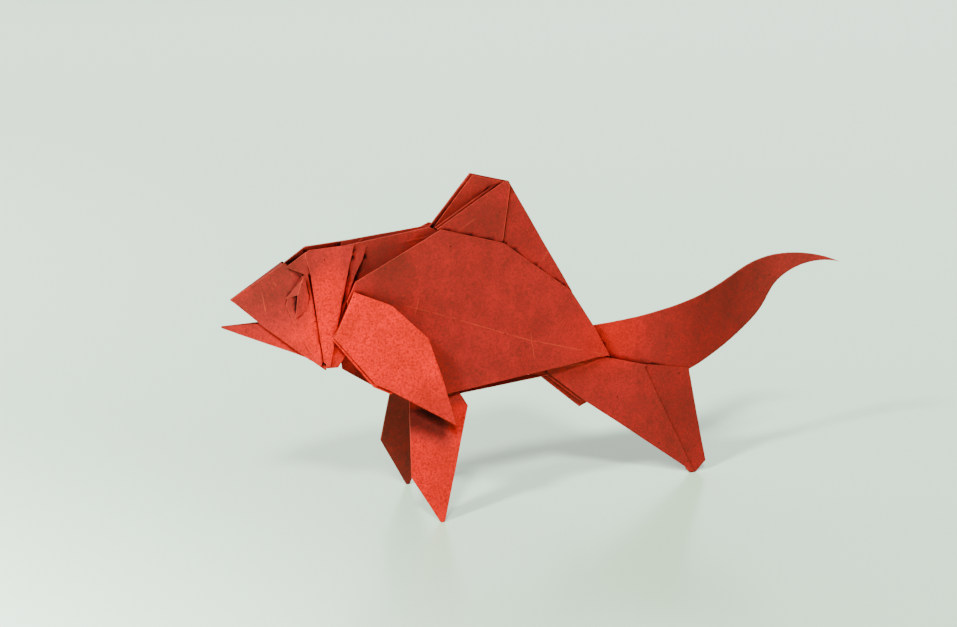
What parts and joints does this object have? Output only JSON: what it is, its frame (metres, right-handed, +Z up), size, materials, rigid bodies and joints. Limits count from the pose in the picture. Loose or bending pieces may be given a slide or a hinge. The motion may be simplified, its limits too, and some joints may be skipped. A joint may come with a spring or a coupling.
{
  "type": "origami goldfish",
  "caption": "Standing goldfish folded from one sheet of red kraft paper, with pleated gill covers, an open mouth, a split back fin, leg-like belly fins and a curled forked tail",
  "frame": {"origin": "on the ground under the middle of the fish's bounding box", "axes": "X runs from the open mouth to the tip of the tail, Y across the fish with its left side at -Y, Z up from the ground it stands on"},
  "size_m": [0.159, 0.029, 0.0786],
  "materials": {
    "red_kraft_paper": "matt, fibrous kraft paper dyed red, with a faint sheen on the flat leaves"
  },
  "bodies": {
    "root": {"goldfish": "red_kraft_paper"}
  },
  "joints": []
}
